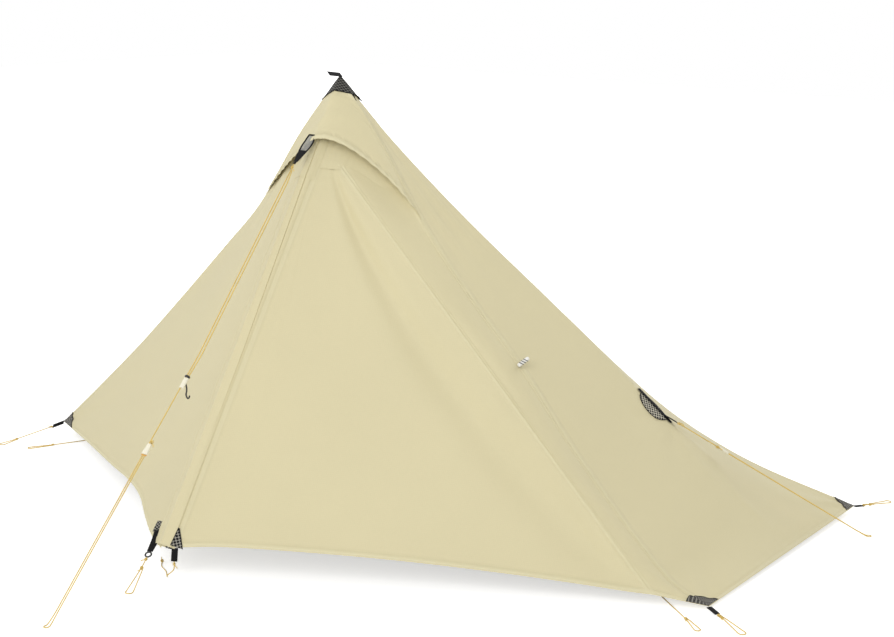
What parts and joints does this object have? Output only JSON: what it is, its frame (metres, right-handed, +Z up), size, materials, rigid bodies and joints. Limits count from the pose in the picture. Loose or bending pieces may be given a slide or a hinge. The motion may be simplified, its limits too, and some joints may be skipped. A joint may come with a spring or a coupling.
{
  "type": "camping tent",
  "caption": "Single-pole camping tent, pitched: fly with hooded front and closed door, inner tent, telescoping pole, guylines and corner cords.",
  "frame": {"origin": "on the ground under the foot of the centre pole", "axes": "+Z up, +X towards the foot end along the tent's length, -Y towards the door"},
  "size_m": [2.5976, 2.1716, 1.2587],
  "materials": {
    "silnylon": "coated nylon, slight sheen",
    "mesh_black": "knitted mesh",
    "webbing_black": "woven webbing",
    "cord_yellow": "braided cord",
    "plastic_cream": "moulded",
    "plastic_black": "moulded",
    "zip_black": "coil zip",
    "floor_grey": "coated nylon",
    "alloy": "anodised",
    "rubber": "moulded"
  },
  "bodies": {
    "tent": {"foot_end_panel": "silnylon", "head_end_panel": "silnylon", "back_panel": "silnylon", "front_left_panel": "silnylon", "door_side_panel": "silnylon", "hood": "silnylon", "zip_band": "silnylon", "vent_mesh": "mesh_black", "apex_cap": "mesh_black", "corner_patch_front_right": "mesh_black", "corner_patch_front_left": "mesh_black", "corner_patch_back_right": "mesh_black", "corner_patch_back_left": "mesh_black", "pullout_patch_foot": "mesh_black", "pullout_patch_head": "mesh_black", "inner_back_wall": "mesh_black", "inner_foot_wall": "mesh_black", "inner_head_wall": "mesh_black", "inner_front_wall": "mesh_black", "hood_tab": "webbing_black", "apex_tab": "webbing_black", "pole_pocket": "webbing_black", "corner_strap_front_right": "webbing_black", "corner_strap_front_left": "webbing_black", "corner_strap_back_right": "webbing_black", "corner_strap_back_left": "webbing_black", "pullout_strap_foot": "webbing_black", "point_strap_left": "webbing_black", "tieback_loop": "webbing_black", "inner_apex_strap": "webbing_black", "corner_cord_front_right": "cord_yellow", "corner_cord_front_left": "cord_yellow", "corner_cord_back_right": "cord_yellow", "corner_cord_back_left": "cord_yellow", "point_cord": "cord_yellow", "inner_cord_front_right": "cord_yellow", "inner_cord_front_left": "cord_yellow", "guyline_front": "cord_yellow", "guyline_foot": "cord_yellow", "point_ring": "plastic_black", "pole_clamp": "plastic_black", "zip_chain_left": "zip_black", "inner_floor": "floor_grey", "pole_lower_tube": "alloy", "pole_foot": "rubber"},
    "door": {"door_panel": "silnylon", "storm_flap": "silnylon", "zip_chain_right": "zip_black", "point_patch_right": "mesh_black", "point_strap_right": "webbing_black", "slack_cord": "cord_yellow"},
    "zip_slider": {"zip_slider": "zip_black"},
    "zip_pull": {"zip_pull": "zip_black"},
    "tensioner_upper": {"tensioner_upper": "plastic_cream"},
    "tensioner_lower": {"tensioner_lower": "plastic_cream"},
    "tensioner_foot": {"tensioner_foot": "plastic_cream"},
    "tieback_toggle": {"tieback_toggle": "plastic_black"},
    "inner_door": {"inner_door": "mesh_black"},
    "pole_upper": {"pole_upper_tube": "alloy"},
    "pole_lever": {"pole_lever": "plastic_black"}
  },
  "joints": [
    {"name": "door_swing", "type": "hinge", "parent": "tent", "child": "door", "pos_m": [0.07458, -0.09033, 1.02259], "axis": [-0.7116, -0.0183, 0.7023], "range_deg": [0, 95], "deforming": ["guyline_front"]},
    {"name": "zip_run", "type": "slide", "parent": "tent", "child": "zip_slider", "axis": [0, -0.5205, -0.8539], "range_m": [0, 0.96]},
    {"name": "zip_pull_swing", "type": "hinge", "parent": "zip_slider", "child": "zip_pull", "pos_m": [0.01338, -0.13946, 1.01171], "axis": [-0.8829, -0.401, 0.2444], "range_deg": [0, 70]},
    {"name": "tensioner_upper_run", "type": "slide", "parent": "tent", "child": "tensioner_upper", "axis": [0, 0.6757, 0.7372], "range_m": [0, 0.05]},
    {"name": "tensioner_lower_run", "type": "slide", "parent": "tent", "child": "tensioner_lower", "axis": [0, 0.6757, 0.7372], "range_m": [0, 0.06]},
    {"name": "tensioner_foot_run", "type": "slide", "parent": "tent", "child": "tensioner_foot", "axis": [-0.6462, -0.5568, 0.5219], "range_m": [0, 0.06]},
    {"name": "tieback_swing", "type": "hinge", "parent": "tent", "child": "tieback_toggle", "pos_m": [0.60698, -0.01632, 0.54622], "axis": [0.7112, 0.0179, -0.7028], "range_deg": [0, 75]},
    {"name": "inner_door_swing", "type": "hinge", "parent": "tent", "child": "inner_door", "pos_m": [0.05, 0.04665, 0.84], "axis": [-0.7627, -0.0058, 0.6467], "range_deg": [0, 35]},
    {"name": "pole_telescope", "type": "slide", "parent": "tent", "child": "pole_upper", "axis": [0, 0, 1], "range_m": [-0.33, 0]},
    {"name": "pole_lock", "type": "hinge", "parent": "tent", "child": "pole_lever", "pos_m": [-0.0169, 0, 0], "axis": [0, 0, 1], "range_deg": [-100, 0]}
  ]
}
